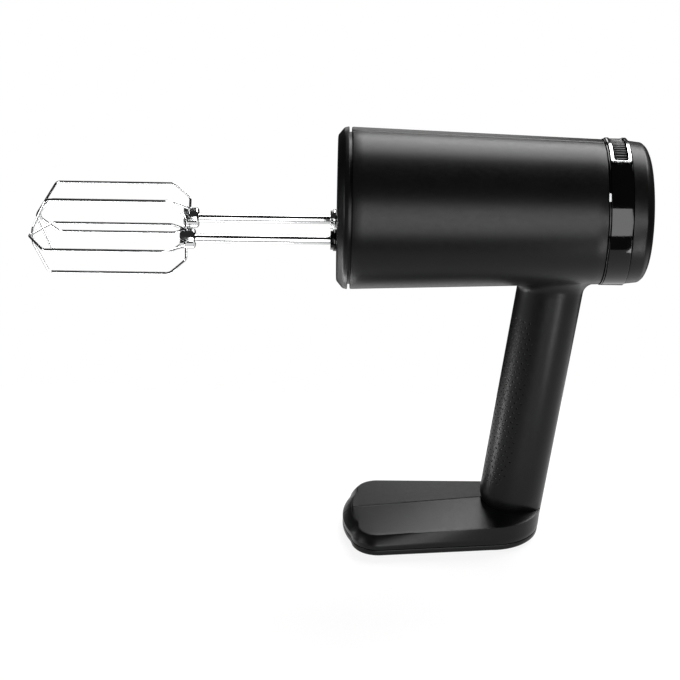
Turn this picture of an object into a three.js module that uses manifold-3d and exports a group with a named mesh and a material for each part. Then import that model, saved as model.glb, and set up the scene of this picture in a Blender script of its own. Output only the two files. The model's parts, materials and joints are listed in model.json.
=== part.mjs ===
// Pistol-grip hand mixer, modelled as an assembly in millimetres.
// -X points forward along the beaters, +Z is up, and -Y is the mixer's left side.
// The origin is the centre of the foot, on the surface that the mixer stands on.
import * as THREE from 'three';
import { ConvexGeometry } from 'three/addons/geometries/ConvexGeometry.js';
import { mergeVertices } from 'three/addons/utils/BufferGeometryUtils.js';
import Module from 'manifold-3d';

const wasm = await Module();
wasm.setup();

// Driving dimensions
const GAP = 0.3;                 // clearance between separate pieces
const WALL = 2.6;                // moulded shell thickness

const AXIS_Z = 215.5;            // height of the barrel's axis
const BARREL = { frontX: -60.5, rearX: 87.7, frontR: 48.2, rearR: 43.1 };
const CAP = { faceX: -68.7, faceR: 43.2, bevelX: -64.9, bevelR: 47.8, rimX: -62.1, rimR: 48.4 };

const SPINDLE = { halfSpacing: 17.5, drop: 14, outerR: 5, boreR: 3.1, frontX: -68.6, rearX: -15.8 };
const BEATER = { shaftR: 2.65, wireR: 0.72, cageR: 22.6, hubFrontX: -161.1, hubRearX: -152, hubR: 6.15,
  wireEntryX: -157.7, shoulderR: 13.6, rearCornerX: -167.7, frontCornerX: -239.5,
  outerNoseX: -250.6, innerNoseX: -248.3, innerNoseR: 4.2, innerEndX: -21.8 };
const COLLAR = { frontX: -72.4, stepX: -70.9, rearX: -69, frontR: 5.6, rearR: 6.4 };

const GEAR = { spindleTeeth: 35, spindleModule: 1, pinionTeeth: 12, firstModule: 0.8,
  wheelTeeth: 44, motorTeeth: 11, slowX: -44, slowWidth: 10, fastX: -31, fastWidth: 6, backlash: 0.16 };
const PLATE = { frontX: -52, rearX: -20, thickness: 4, frontR: 44.5, rearR: 43.5 };
const MOTOR = { frontX: -15.4, rearX: 38, outerR: 19, innerR: 17, shaftR: 1.6, bearingR: 5.1 };

const BAND = { frontX: 89, rearX: 101.8, outerR: 43.9, innerR: 43.4 };
const WINDOW = { frontX: 91, rearX: 99.8, halfAngle: 27, frame: 1.9, outerR: 44.2 };
const DIAL = { innerR: 36.2, rootR: 42, tipR: 43.05, ribPitch: 3.4, firstRib: -78.2, ribs: 33 };
const REAR = { startX: 102.1, startR: 42.6, journalR: 35.9, journalX: 89, buttonR: 10.3 };
const EJECT = { yokeX: 56, yokeWidth: 4, rodR: 1.8, rodTipX: -21.4, stemR: 3, buttonRearX: 117.6 };

const HANDLE = { footX: 41.4, lean: 0.118, halfDepth: 20.1, widthRatio: 0.92, lipX: 25.5, lipZ: 30.4,
  lipSlope: 0.446, neckInset: 2.2,
  flare: [[0, 162], [0.9, 166], [2.8, 170], [5.5, 173.5]] };
const FOOT = { cornerX: -40, cornerY: 24.5, cornerR: 16.2, frontR: 60, frontCentreX: -1.5,
  rearX: 29.7, rearR: 31.8, plateZ: 1.5, seamZ: 5.7, creaseZ: 16.45, creaseRise: 0.045,
  creaseFrontX: -34, creaseRearX: 24, creaseFrontInset: 4, creaseRearInset: 0.3,
  ridgeFrontX: -55, ridgeFrontZ: 14.7, ridgeRearX: 45, ridgeRearZ: 25.4 };
const CELL = { radius: 13, length: 65, firstHeight: 27 };

// Materials
const finish = (color, roughness, metalness = 0) =>
  new THREE.MeshStandardMaterial({ color, roughness, metalness });
const softBlack = () => finish(0x1b1b1d, 0.55);
const glossBlack = () => finish(0x070708, 0.12);
const chrome = () => finish(0xd4d6d9, 0.12, 1);
const steel = () => finish(0x9a9ca0, 0.35, 1);
const bronze = () => finish(0xa27a48, 0.45, 1);
const acetal = () => finish(0xe6e2d6, 0.4);
const rubber = () => finish(0x202020, 0.9);
const board = () => finish(0x1f5a36, 0.6);

// Geometry to manifold and back, used only where pieces are joined or cut
function toManifold(geometry) {
  const bare = geometry.clone();
  bare.deleteAttribute('normal');
  bare.deleteAttribute('uv');
  const merged = mergeVertices(bare, 1e-4);
  const mesh = new wasm.Mesh({
    numProp: 3,
    vertProperties: new Float32Array(merged.attributes.position.array),
    triVerts: new Uint32Array(merged.index.array),
  });
  return new wasm.Manifold(mesh);
}

function toGeometry(manifold) {
  const mesh = manifold.getMesh();
  const geometry = new THREE.BufferGeometry();
  geometry.setAttribute('position', new THREE.BufferAttribute(new Float32Array(mesh.vertProperties), 3));
  geometry.setIndex(new THREE.BufferAttribute(new Uint32Array(mesh.triVerts), 1));
  geometry.computeVertexNormals();
  return geometry;
}

const join = (first, ...others) =>
  toGeometry(others.reduce((sum, part) => sum.add(toManifold(part)), toManifold(first)));
const cut = (first, ...others) =>
  toGeometry(others.reduce((rest, part) => rest.subtract(toManifold(part)), toManifold(first)));
const common = (first, second) => toGeometry(toManifold(first).intersect(toManifold(second)));

// Basic shapes placed along X, Y or Z
const PLAN_TO_X = new THREE.Matrix4().makeBasis(
  new THREE.Vector3(0, 1, 0), new THREE.Vector3(0, 0, 1), new THREE.Vector3(1, 0, 0));

// A solid or ring turned about X from [x, radius] points listed front to rear along the outside
function turned(points, segments = 40) {
  const profile = points.map(([x, r]) => new THREE.Vector2(r, x));
  const closesOnAxis = points[0][1] === 0 && points[points.length - 1][1] === 0;
  if (!closesOnAxis) profile.push(profile[0].clone());
  return new THREE.LatheGeometry(profile, segments).rotateZ(-Math.PI / 2);
}

const ring = (x0, x1, innerR, outerR, segments) =>
  turned([[x0, innerR], [x0, outerR], [x1, outerR], [x1, innerR]], segments);
const rod = (x0, x1, radius, segments) => turned([[x0, 0], [x0, radius], [x1, radius], [x1, 0]], segments);
const block = (x0, x1, y0, y1, z0, z1) =>
  new THREE.BoxGeometry(x1 - x0, y1 - y0, z1 - z0).translate((x0 + x1) / 2, (y0 + y1) / 2, (z0 + z1) / 2);
const across = (x, z, y0, y1, radius, segments = 16) =>
  new THREE.CylinderGeometry(radius, radius, y1 - y0, segments).translate(x, (y0 + y1) / 2, z);
const upright = (x, y, z0, z1, radius, segments = 16) =>
  new THREE.CylinderGeometry(radius, radius, z1 - z0, segments)
    .rotateX(Math.PI / 2)
    .translate(x, y, (z0 + z1) / 2);
const plate = (shape, x0, thickness) =>
  new THREE.ExtrudeGeometry(shape, { depth: thickness, bevelEnabled: false, curveSegments: 12 })
    .applyMatrix4(PLAN_TO_X).translate(x0, 0, 0);

function mesh(name, geometry, material) {
  const piece = new THREE.Mesh(geometry, material);
  piece.name = name;
  return piece;
}

function group(x, y, z, ...children) {
  const holder = new THREE.Group();
  holder.position.set(x, y, z);
  holder.add(...children);
  return holder;
}

// Housing: barrel, handle and foot moulded as two halves that meet at Y = 0
function barrelSolid(inset, overrun, segments) {
  const slope = (BARREL.rearR - BARREL.frontR) / (BARREL.rearX - BARREL.frontX);
  const frontR = BARREL.frontR - inset - slope * overrun;
  const rearR = BARREL.rearR - inset + slope * overrun;
  const [x0, x1] = [BARREL.frontX - overrun, BARREL.rearX + overrun];
  return turned([[x0, 0], [x0, frontR], [x1, rearR], [x1, 0]], segments).translate(0, 0, AXIS_Z);
}

// The handle is an oval column, leaned by a shear and flared where it meets the barrel
function handleSolid(inset, bottomZ, topZ, flare = []) {
  const r = HANDLE.halfDepth - inset;
  const widest = r + (flare.length ? flare[flare.length - 1][0] : 0);
  const outline = [[0, bottomZ], [r, bottomZ], ...flare.map(([out, z]) => [r + out, z]),
    [widest, topZ], [0, topZ]];
  const shear = new THREE.Matrix4().makeShear(0, 0, 0, 0, HANDLE.lean, 0);
  return new THREE.LatheGeometry(outline.map(([radius, z]) => new THREE.Vector2(radius, z)), 32)
    .rotateX(Math.PI / 2)
    .scale(1, HANDLE.widthRatio, 1)
    .applyMatrix4(shear)
    .translate(HANDLE.footX, 0, 0);
}

// Points round the foot's plan at one level; the height and the inset may vary along X
function footRing(insetAt, frontInset, height) {
  const points = [];
  const arc = (centreX, centreY, radius, from, to, count) => {
    for (let i = 0; i <= count; i += 1) {
      const angle = THREE.MathUtils.degToRad(from + (to - from) * i / count);
      const reach = radius - insetAt(centreX + radius * Math.cos(angle));
      const [x, y] = [centreX + reach * Math.cos(angle), centreY + reach * Math.sin(angle)];
      points.push(new THREE.Vector3(x, y, height(x)));
    }
  };
  arc(FOOT.cornerX, FOOT.cornerY, FOOT.cornerR, 85, 165, 5);
  arc(FOOT.frontCentreX, 0, FOOT.frontR - frontInset, 157, 203, 5);
  arc(FOOT.cornerX, -FOOT.cornerY, FOOT.cornerR, 195, 275, 5);
  arc(FOOT.rearX + HANDLE.lean * height(FOOT.rearX), 0, FOOT.rearR, -88, 88, 12);
  return points;
}

const even = (value) => () => value;
const creaseHeight = (drop) => (x) => FOOT.creaseZ + FOOT.creaseRise * x - drop;

// The crease stands well in from the foot's edge at the front and meets it towards the handle
const creaseInset = (inset) => (x) => {
  const { creaseFrontX, creaseRearX, creaseFrontInset, creaseRearInset } = FOOT;
  const place = THREE.MathUtils.clamp(x, creaseFrontX, creaseRearX);
  return inset + THREE.MathUtils.mapLinear(place, creaseFrontX, creaseRearX, creaseFrontInset, creaseRearInset);
};

function footSolid(inset, bottomZ) {
  const ridge = [new THREE.Vector3(FOOT.ridgeFrontX + inset, 0, FOOT.ridgeFrontZ - inset),
    new THREE.Vector3(FOOT.ridgeRearX, 0, FOOT.ridgeRearZ - inset)];
  return new ConvexGeometry([
    ...footRing(even(inset), 0, even(bottomZ)),
    ...footRing(even(inset), 0, even(9)),
    ...footRing(creaseInset(inset), 1.4, creaseHeight(inset)),
    ...ridge,
  ]);
}

// The grip stops at a lip that slopes down to the rear; a narrower neck carries on into the foot
function gripSolid() {
  const above = new THREE.BoxGeometry(200, 100, 200).translate(0, 0, 100)
    .rotateY(Math.atan(HANDLE.lipSlope))
    .translate(HANDLE.lipX, 0, HANDLE.lipZ);
  return common(handleSolid(0, 10, AXIS_Z - 29, HANDLE.flare), above);
}

const CASE_SCREWS = [{ x: 4, z: AXIS_Z + 33 }, { x: 60, z: AXIS_Z + 31 }, { x: 63, z: 169 }];
const BASE_SCREWS = [{ x: -38, y: -23 }, { x: -38, y: 23 }, { x: 30, y: -21 }, { x: 30, y: 21 }];
const SOCKET = { x0: 55, x1: 63, halfWidth: 5.5, z0: 9, z1: 14 };
const MARKER = { frontX: 87.4, rearX: 88.7, halfWidth: 2.4, innerR: 42.2, outerR: 43.4, angle: 59 };

// A small block between barrel and band, or the notch it sits in, on the mixer's left shoulder
function markerBlock(clearance) {
  const { frontX, rearX, halfWidth, innerR, outerR, angle } = MARKER;
  const side = halfWidth + clearance;
  return block(frontX - clearance, rearX + clearance, -side, side, innerR - clearance, outerR + clearance)
    .rotateX(THREE.MathUtils.degToRad(angle));
}

function housingShell() {
  const outside = join(barrelSolid(0, 0, 56), gripSolid(), handleSolid(HANDLE.neckInset, 8, 45),
    footSolid(0, FOOT.seamZ + GAP));
  const inside = join(barrelSolid(WALL, 5, 36), handleSolid(WALL + HANDLE.neckInset, 5, AXIS_Z - 20),
    handleSolid(WALL, 38, AXIS_Z), footSolid(WALL, FOOT.seamZ - 5));
  const bosses = join(...CASE_SCREWS.map(({ x, z }) => across(x, z, -45, 45, 4)),
    ...BASE_SCREWS.map(({ x, y }) => upright(x, y, FOOT.seamZ + 1.2, 18, 3.6)));
  const shell = join(cut(outside, inside), common(bosses, outside));
  const caseHoles = CASE_SCREWS.flatMap(({ x, z }) =>
    [across(x, z, -9.5, 12, 1.6), across(x, z, 10, 60, 3.3)]);
  const baseHoles = BASE_SCREWS.map(({ x, y }) => upright(x, y, 0, 12.5, 1.6));
  const socket = block(SOCKET.x0 - GAP, SOCKET.x1 + 5, -SOCKET.halfWidth - GAP, SOCKET.halfWidth + GAP,
    SOCKET.z0 - GAP, SOCKET.z1 + GAP);
  const markerPocket = markerBlock(GAP).translate(0, 0, AXIS_Z);
  return cut(shell, ...caseHoles, ...baseHoles, socket, markerPocket);
}

function housingHalves() {
  const shell = housingShell();
  const half = (side) => {
    const far = 200;
    const near = GAP / 2;
    const [y0, y1] = side < 0 ? [-far, -near] : [near, far];
    return common(shell, block(-far, far, y0, y1, -far, 2 * far));
  };
  return [mesh('left_housing', half(-1), softBlack()), mesh('right_housing', half(1), softBlack())];
}

function caseScrews() {
  return CASE_SCREWS.map(({ x, z }, i) => mesh(`case_screw_${i + 1}`,
    join(across(x, z, -9, 10.6, 1.3, 10), across(x, z, 10.3, 12.8, 3, 14)), steel()));
}

// Foot: bottom plate, rubber pad and the screws that hold the plate
function bottomPlate() {
  const body = new ConvexGeometry([
    ...footRing(even(1.6), 0, even(FOOT.plateZ)), ...footRing(even(0), 0, even(FOOT.plateZ + 1.4)),
    ...footRing(even(0), 0, even(FOOT.seamZ))]);
  const tray = new ConvexGeometry([
    ...footRing(even(WALL), 0, even(FOOT.plateZ + 2.4)), ...footRing(even(WALL), 0, even(FOOT.seamZ + 1))]);
  const bosses = BASE_SCREWS.map(({ x, y }) => upright(x, y, FOOT.plateZ + 1, FOOT.seamZ + 0.6, 4.2));
  const holes = BASE_SCREWS.flatMap(({ x, y }) => [upright(x, y, 0, 9, 1.6), upright(x, y, 0, 3.6, 3.2)]);
  return mesh('bottom_plate', cut(join(cut(body, tray), ...bosses), ...holes), softBlack());
}

function footPad() {
  const rings = [...footRing(even(7), 0, even(0)), ...footRing(even(6.4), 0, even(FOOT.plateZ - GAP))];
  return mesh('foot_pad', new ConvexGeometry(rings), rubber());
}

function baseScrews() {
  return BASE_SCREWS.map(({ x, y }, i) => mesh(`base_screw_${i + 1}`,
    join(upright(x, y, 1.8, 3.3, 2.8, 14), upright(x, y, 3.1, 12, 1.3, 10)), steel()));
}

// Front cap, with a bore for each spindle
function frontCap() {
  const innerR = 42.5;
  const spigotR = 45.2;
  const body = turned([[CAP.faceX, 0], [CAP.faceX, CAP.faceR], [CAP.bevelX, CAP.bevelR], [CAP.rimX, CAP.rimR],
    [CAP.rimX, spigotR], [-54, spigotR], [-54, innerR], [-64.5, innerR], [-64.5, 0]], 48);
  const bores = [-1, 1].map((side) => rod(-80, -50, SPINDLE.outerR + 0.5, 24)
    .translate(0, side * SPINDLE.halfSpacing, -SPINDLE.drop));
  return mesh('front_cap', cut(body, ...bores), softBlack());
}

// Involute gear outline in the YZ plane, with one tooth centred on the start angle
function gearShape(teeth, module, startAngle, boreR) {
  const pressure = THREE.MathUtils.degToRad(20);
  const pitchR = teeth * module / 2;
  const baseR = pitchR * Math.cos(pressure);
  const involute = (angle) => Math.tan(angle) - angle;
  const middle = teeth < 20 ? [pitchR - 0.2 * module] : [];
  const radii = [pitchR - 1.2 * module, ...middle, pitchR + 0.85 * module];
  const halfAngle = (r) => {
    const local = Math.acos(Math.min(1, baseR / Math.max(r, baseR)));
    return Math.PI / (2 * teeth) + involute(pressure) - involute(local) - GEAR.backlash / pitchR;
  };
  const points = [];
  for (let tooth = 0; tooth < teeth; tooth += 1) {
    const centre = startAngle + 2 * Math.PI * tooth / teeth;
    const flank = radii.map((r) => [r, halfAngle(r)]);
    const rising = flank.map(([r, half]) => [r, centre - half]);
    const falling = flank.map(([r, half]) => [r, centre + half]).reverse();
    points.push(...[...rising, ...falling].map(([r, angle]) =>
      new THREE.Vector2(r * Math.cos(angle), r * Math.sin(angle))));
  }
  const shape = new THREE.Shape(points);
  shape.holes.push(new THREE.Path().absarc(0, 0, boreR, 0, 2 * Math.PI, true));
  return shape;
}

// Where the second gear's tooth must stand for the pair to mesh along the line between centres
function meshedStart(firstTeeth, firstStart, secondTeeth, direction, module) {
  const pitch = 2 * Math.PI / firstTeeth;
  const nearest = firstStart + Math.round((direction - firstStart) / pitch) * pitch;
  const slip = (firstTeeth * module / 2) * (nearest - direction) + Math.PI * module / 2;
  return direction + Math.PI - slip / (secondTeeth * module / 2);
}

// Gear centres in the plane across the barrel: [y, z] from its axis
const RIGHT_CENTRE = [SPINDLE.halfSpacing, -SPINDLE.drop];
const IDLER_CENTRE = idlerCentre();

function idlerCentre() {
  const fromMotor = (GEAR.motorTeeth + GEAR.wheelTeeth) * GEAR.firstModule / 2;
  const fromSpindle = (GEAR.spindleTeeth + GEAR.pinionTeeth) * GEAR.spindleModule / 2;
  const distance = Math.hypot(...RIGHT_CENTRE);
  const along = (fromMotor ** 2 - fromSpindle ** 2 + distance ** 2) / (2 * distance);
  const aside = Math.sqrt(fromMotor ** 2 - along ** 2);
  const [uy, uz] = RIGHT_CENTRE.map((value) => value / distance);
  return [uy * along - uz * aside, uz * along + uy * aside];
}

function gearAngles() {
  const toLeft = Math.PI;
  const toIdler = Math.atan2(IDLER_CENTRE[1] - RIGHT_CENTRE[1], IDLER_CENTRE[0] - RIGHT_CENTRE[0]);
  const toMotor = Math.atan2(-IDLER_CENTRE[1], -IDLER_CENTRE[0]);
  const right = toLeft;
  const left = meshedStart(GEAR.spindleTeeth, right, GEAR.spindleTeeth, toLeft, GEAR.spindleModule);
  const idler = meshedStart(GEAR.spindleTeeth, right, GEAR.pinionTeeth, toIdler, GEAR.spindleModule);
  const wheel = idler;
  const motor = meshedStart(GEAR.wheelTeeth, wheel, GEAR.motorTeeth, toMotor, GEAR.firstModule);
  return { left, right, idler, wheel, motor };
}

// Spindle with a hexagonal bore that drives the beater's shank
function spindle(name) {
  const { outerR, boreR, frontX, rearX } = SPINDLE;
  const bore = rod(frontX - 1, rearX + 1, boreR, 6);
  return mesh(name, cut(rod(frontX, rearX, outerR, 24), bore), steel());
}

function spindleGear(name, startAngle) {
  const shape = gearShape(GEAR.spindleTeeth, GEAR.spindleModule, startAngle, SPINDLE.outerR + GAP);
  return mesh(name, plate(shape, GEAR.slowX, GEAR.slowWidth), acetal());
}

function idlerGear(angles) {
  const axleBoreR = 2.3;
  const small = gearShape(GEAR.pinionTeeth, GEAR.spindleModule, angles.idler, axleBoreR);
  const large = gearShape(GEAR.wheelTeeth, GEAR.firstModule, angles.wheel, axleBoreR);
  const smallWidth = GEAR.fastX - GEAR.slowX + 0.5;
  const both = join(plate(small, GEAR.slowX, smallWidth), plate(large, GEAR.fastX, GEAR.fastWidth));
  return mesh('idler_gear', both, acetal());
}

function bush(name, x) {
  return mesh(name, ring(x - 0.2, x + PLATE.thickness + 0.2, SPINDLE.outerR + 0.12, 7, 24), bronze());
}

// Plates that carry the gear train
function gearPlate(name, x, radius, extraHoles) {
  const disc = rod(x, x + PLATE.thickness, radius, 36);
  const bushHoles = [-1, 1].map((side) => rod(x - 1, x + PLATE.thickness + 1, 7 + GAP, 24)
    .translate(0, side * SPINDLE.halfSpacing, -SPINDLE.drop));
  const axleHole = rod(x - 1, x + PLATE.thickness + 1, 2.3, 16).translate(0, ...IDLER_CENTRE);
  return mesh(name, cut(disc, ...bushHoles, axleHole, ...extraHoles), finish(0x3a3a3e, 0.6));
}

function gearbox() {
  const angles = gearAngles();
  const motorHoles = [rod(PLATE.rearX - 1, PLATE.rearX + 5, 6.5, 24),
    ...MOTOR_SCREWS.map((z) => rod(PLATE.rearX - 1, PLATE.rearX + 5, 1.6, 12).translate(0, 0, z))];
  const trainSide = (side, name, startAngle) => group(0, side * SPINDLE.halfSpacing, -SPINDLE.drop,
    spindle(`spindle_${name}`), spindleGear(`spindle_gear_${name}`, startAngle),
    bush(`front_bush_${name}`, PLATE.frontX), bush(`rear_bush_${name}`, PLATE.rearX));
  return group(0, 0, 0,
    gearPlate('gear_plate_front', PLATE.frontX, PLATE.frontR, []),
    gearPlate('gear_plate_rear', PLATE.rearX, PLATE.rearR, motorHoles),
    trainSide(-1, 'left', angles.left),
    trainSide(1, 'right', angles.right),
    group(0, ...IDLER_CENTRE, idlerGear(angles), mesh('idler_axle', rod(-51.5, -16.5, 2, 16), steel())),
    mesh('motor_pinion', plate(gearShape(GEAR.motorTeeth, GEAR.firstModule, angles.motor, MOTOR.shaftR + GAP),
      GEAR.fastX, GEAR.fastWidth), steel()));
}

// Motor: can, end bell, bearings, armature, shaft and fan
const MOTOR_SCREWS = [-11, 11];

function motorFan() {
  const disc = ring(44, 45.2, MOTOR.shaftR + GAP, 17, 28);
  const hub = ring(44, 50, MOTOR.shaftR + GAP, 4.2, 16);
  const blades = [];
  for (let i = 0; i < 9; i += 1) {
    blades.push(block(44.6, 50, 6, 16.6, -0.6, 0.6).rotateX(2 * Math.PI * i / 9));
  }
  return mesh('motor_fan', join(disc, hub, ...blades), finish(0xb9bcc0, 0.5));
}

function motor() {
  const { frontX, rearX, outerR, innerR, shaftR, bearingR } = MOTOR;
  const seatR = bearingR + GAP;
  const can = turned([[frontX, seatR], [frontX, outerR], [rearX, outerR], [rearX, innerR],
    [frontX + 2, innerR], [frontX + 2, seatR]], 32);
  const screwHoles = MOTOR_SCREWS.map((z) => rod(frontX - 1, frontX + 3, 1.6, 12).translate(0, 0, z));
  const armature = turned([[-8, shaftR + GAP], [-8, 9], [-4, 13], [-4, 14.5], [26, 14.5], [26, 13], [30, 9],
    [31, 6], [36, 6], [36, shaftR + GAP]], 24);
  const screw = (z, i) => mesh(`motor_screw_${i + 1}`,
    join(rod(-22, -20.3, 2.4, 14), rod(-20.4, -12.8, 1.3, 10)).translate(0, 0, z), steel());
  return group(0, 0, 0,
    mesh('motor_can', cut(can, ...screwHoles), finish(0x8e9094, 0.4, 1)),
    mesh('motor_end_bell', ring(rearX + GAP, rearX + 3.3, seatR, outerR, 32), finish(0x2c2c30, 0.6)),
    mesh('motor_bearing_front', ring(frontX - 0.2, frontX + 3.8, shaftR + 0.12, bearingR, 18), steel()),
    mesh('motor_bearing_rear', ring(rearX - 0.5, rearX + 3.5, shaftR + 0.12, bearingR, 18), steel()),
    mesh('armature', armature, finish(0xa8552f, 0.45, 1)),
    mesh('motor_shaft', rod(-32, 50.2, shaftR, 16), steel()),
    motorFan(),
    ...MOTOR_SCREWS.map(screw));
}

// A wire bent in one plane; its points are spaced by corner, so that every bend keeps its shape
class BentWire extends THREE.Curve {
  constructor(points) {
    super();
    this.points = points;
  }

  getPoint(t) {
    const place = t * (this.points.length - 1);
    const index = Math.min(Math.floor(place), this.points.length - 2);
    return this.points[index].clone().lerp(this.points[index + 1], place - index);
  }

  getUtoTmapping(u) {
    return u;
  }
}

function roundedCorners(corners, radius) {
  const points = [corners[0]];
  for (let i = 1; i < corners.length - 1; i += 1) {
    const before = corners[i].clone().lerp(corners[i - 1], radius / corners[i].distanceTo(corners[i - 1]));
    const after = corners[i].clone().lerp(corners[i + 1], radius / corners[i].distanceTo(corners[i + 1]));
    const bend = new THREE.QuadraticBezierCurve3(before, corners[i], after);
    points.push(...bend.getPoints(3));
  }
  points.push(corners[corners.length - 1]);
  return points;
}

function cageLoop(name, nose, turn) {
  const b = BEATER;
  const side = [[b.wireEntryX, 1.3], [b.wireEntryX, b.shoulderR], [b.rearCornerX, b.cageR],
    [b.frontCornerX, b.cageR]];
  const outline = [...side, ...nose, ...side.map(([x, r]) => [x, -r]).reverse()];
  const corners = outline.map(([x, r]) => new THREE.Vector3(x, 0, r));
  const path = new BentWire(roundedCorners(corners, 1.6));
  const steps = path.points.length - 1;
  const section = new THREE.Shape().absarc(0, 0, b.wireR, 0, 2 * Math.PI, false);
  const wire = new THREE.ExtrudeGeometry(section,
    { extrudePath: path, steps, curveSegments: 3, bevelEnabled: false });
  return mesh(name, wire.rotateX(turn), chrome());
}

// Round shank with a slotted hub at the front and a hexagonal drive end at the rear
function beaterShaft(name, turn) {
  const b = BEATER;
  const hub = turned([[b.hubFrontX, 0], [b.hubFrontX, b.hubR], [b.hubRearX - 1, b.hubR],
    [b.hubRearX, b.hubR - 1.2], [b.hubRearX, b.shaftR], [-60, b.shaftR], [-60, 0]], 24);
  const driveEnd = rod(-60.5, b.innerEndX, b.shaftR, 6);
  const slotHalf = b.wireR + GAP;
  const slots = [0, Math.PI / 2].map((angle) =>
    block(b.hubFrontX - 1, b.wireEntryX + slotHalf, -slotHalf, slotHalf, -10, 10).rotateX(turn + angle));
  return mesh(name, cut(join(hub, driveEnd), ...slots), chrome());
}

function beater(name, side, turn, collarMaterial) {
  const b = BEATER;
  const flatNose = [[b.innerNoseX, b.innerNoseR], [b.innerNoseX, -b.innerNoseR]];
  const collar = turned([[COLLAR.frontX, b.shaftR + GAP], [COLLAR.frontX, COLLAR.frontR],
    [COLLAR.stepX, COLLAR.frontR], [COLLAR.stepX, COLLAR.rearR], [COLLAR.rearX, COLLAR.rearR], [COLLAR.rearX, b.shaftR + GAP]], 24);
  return group(0, side * SPINDLE.halfSpacing, -SPINDLE.drop,
    beaterShaft(`beater_shaft_${name}`, turn),
    cageLoop(`beater_outer_loop_${name}`, [[b.outerNoseX, 0]], turn + Math.PI / 2),
    cageLoop(`beater_inner_loop_${name}`, flatNose, turn),
    mesh(`beater_collar_${name}`, collar, collarMaterial));
}

// Glossy band with its framed window, and the ribbed speed dial that shows through it
function wedge(halfAngle, x0, x1) {
  const reach = 60;
  const half = THREE.MathUtils.degToRad(halfAngle);
  const shape = new THREE.Shape([new THREE.Vector2(0, 0),
    new THREE.Vector2(reach * Math.sin(half), reach * Math.cos(half)),
    new THREE.Vector2(-reach * Math.sin(half), reach * Math.cos(half))]);
  return plate(shape, x0, x1 - x0);
}

function rearBand() {
  const lipR = 39.5;
  const lip = 0.9;
  const { frontX, rearX, outerR, innerR } = BAND;
  const body = turned([[frontX, lipR], [frontX, outerR], [rearX, outerR], [rearX, lipR], [rearX - lip, lipR],
    [rearX - lip, innerR], [frontX + lip, innerR], [frontX + lip, lipR]], 48);
  const pocket = common(ring(frontX - 1, rearX + 1, innerR - GAP, outerR + 1, 48),
    wedge(WINDOW.halfAngle + 3.2, 80, 110));
  return mesh('rear_band', cut(body, pocket), glossBlack());
}

function windowFrame() {
  const { frontX, rearX, halfAngle, frame, outerR } = WINDOW;
  const blank = common(ring(frontX - frame, rearX + frame, BAND.innerR, outerR, 48),
    wedge(halfAngle + 2.7, 80, 110));
  const opening = common(ring(frontX, rearX, 40, 50, 48), wedge(halfAngle, 80, 110));
  return mesh('window_frame', cut(blank, opening), chrome());
}

function speedDial() {
  const { innerR, rootR, tipR, ribPitch, firstRib, ribs } = DIAL;
  const polar = (r, degrees) => {
    const angle = THREE.MathUtils.degToRad(90 + degrees);
    return new THREE.Vector2(r * Math.cos(angle), r * Math.sin(angle));
  };
  const points = [];
  for (let i = 0; i < ribs; i += 1) {
    const centre = firstRib + i * ribPitch;
    points.push(polar(rootR, centre - 1), polar(tipR, centre - 0.6),
      polar(tipR, centre + 0.6), polar(rootR, centre + 1));
  }
  const lastRib = firstRib + (ribs - 1) * ribPitch;
  const plain = 360 + firstRib - lastRib - ribPitch;
  for (let i = 0; i <= 28; i += 1) {
    points.push(polar(rootR, lastRib + ribPitch / 2 + plain * i / 28));
  }
  const shape = new THREE.Shape(points);
  const hole = new THREE.Path().absarc(0, 0, innerR, 0, 2 * Math.PI, true);
  shape.holes.push(hole);
  const width = WINDOW.rearX - WINDOW.frontX - 2 * GAP;
  const body = new THREE.ExtrudeGeometry(shape, { depth: width, bevelEnabled: false, curveSegments: 20 });
  return mesh('speed_dial', body.applyMatrix4(PLAN_TO_X).translate(WINDOW.frontX + GAP, 0, 0), rubber());
}

function rearCap() {
  const innerR = 33.5;
  const { startX, startR, journalR, journalX, buttonR } = REAR;
  const boreR = buttonR + 0.4;
  const body = turned([[journalX, innerR], [journalX, journalR], [109, journalR], [109, 39.2], [startX, 40],
    [startX, startR], [110.4, 41.6], [113, 39.4], [115, 35], [116.2, 28], [116.8, 20],
    [116.8, boreR], [103, boreR],
    [103, boreR + 2], [111, boreR + 2], [111, innerR]], 44);
  return mesh('rear_cap', body, softBlack());
}

function trimRing() {
  const body = ring(BARREL.rearX + GAP, BAND.frontX - GAP, 40.5, 43.5, 48);
  return mesh('trim_ring', cut(body, markerBlock(GAP)), glossBlack());
}

// Ejector: a button at the rear drives two rods through the spindles against the beaters' shanks
function ejectButton() {
  const { stemR, buttonRearX } = EJECT;
  const { buttonR } = REAR;
  const stemFrontX = EJECT.yokeX + EJECT.yokeWidth + GAP;
  const body = turned([[stemFrontX, 0], [stemFrontX, stemR], [106, stemR], [106, buttonR],
    [buttonRearX - 1.6, buttonR],
    [buttonRearX - 0.4, buttonR - 1], [buttonRearX, buttonR - 3], [buttonRearX, 0]], 28);
  return mesh('eject_button', body, softBlack());
}

function ejectYoke() {
  const { yokeX, yokeWidth, rodR, rodTipX } = EJECT;
  const { halfSpacing, drop } = SPINDLE;
  const cross = block(yokeX, yokeX + yokeWidth, -halfSpacing - 3, halfSpacing + 3, -drop - 3, -drop + 4);
  const riser = block(yokeX, yokeX + yokeWidth, -4.5, 4.5, -drop, 5);
  const rods = [-1, 1].map((side) => rod(rodTipX, yokeX + 1, rodR, 12).translate(0, side * halfSpacing, -drop));
  return mesh('eject_yoke', join(cross, riser, ...rods), acetal());
}

class Coil extends THREE.Curve {
  constructor(radius, length, turns) {
    super();
    Object.assign(this, { radius, length, turns });
  }

  getPoint(t) {
    const angle = 2 * Math.PI * this.turns * t;
    return new THREE.Vector3(this.length * t, this.radius * Math.cos(angle), this.radius * Math.sin(angle));
  }
}

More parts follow.
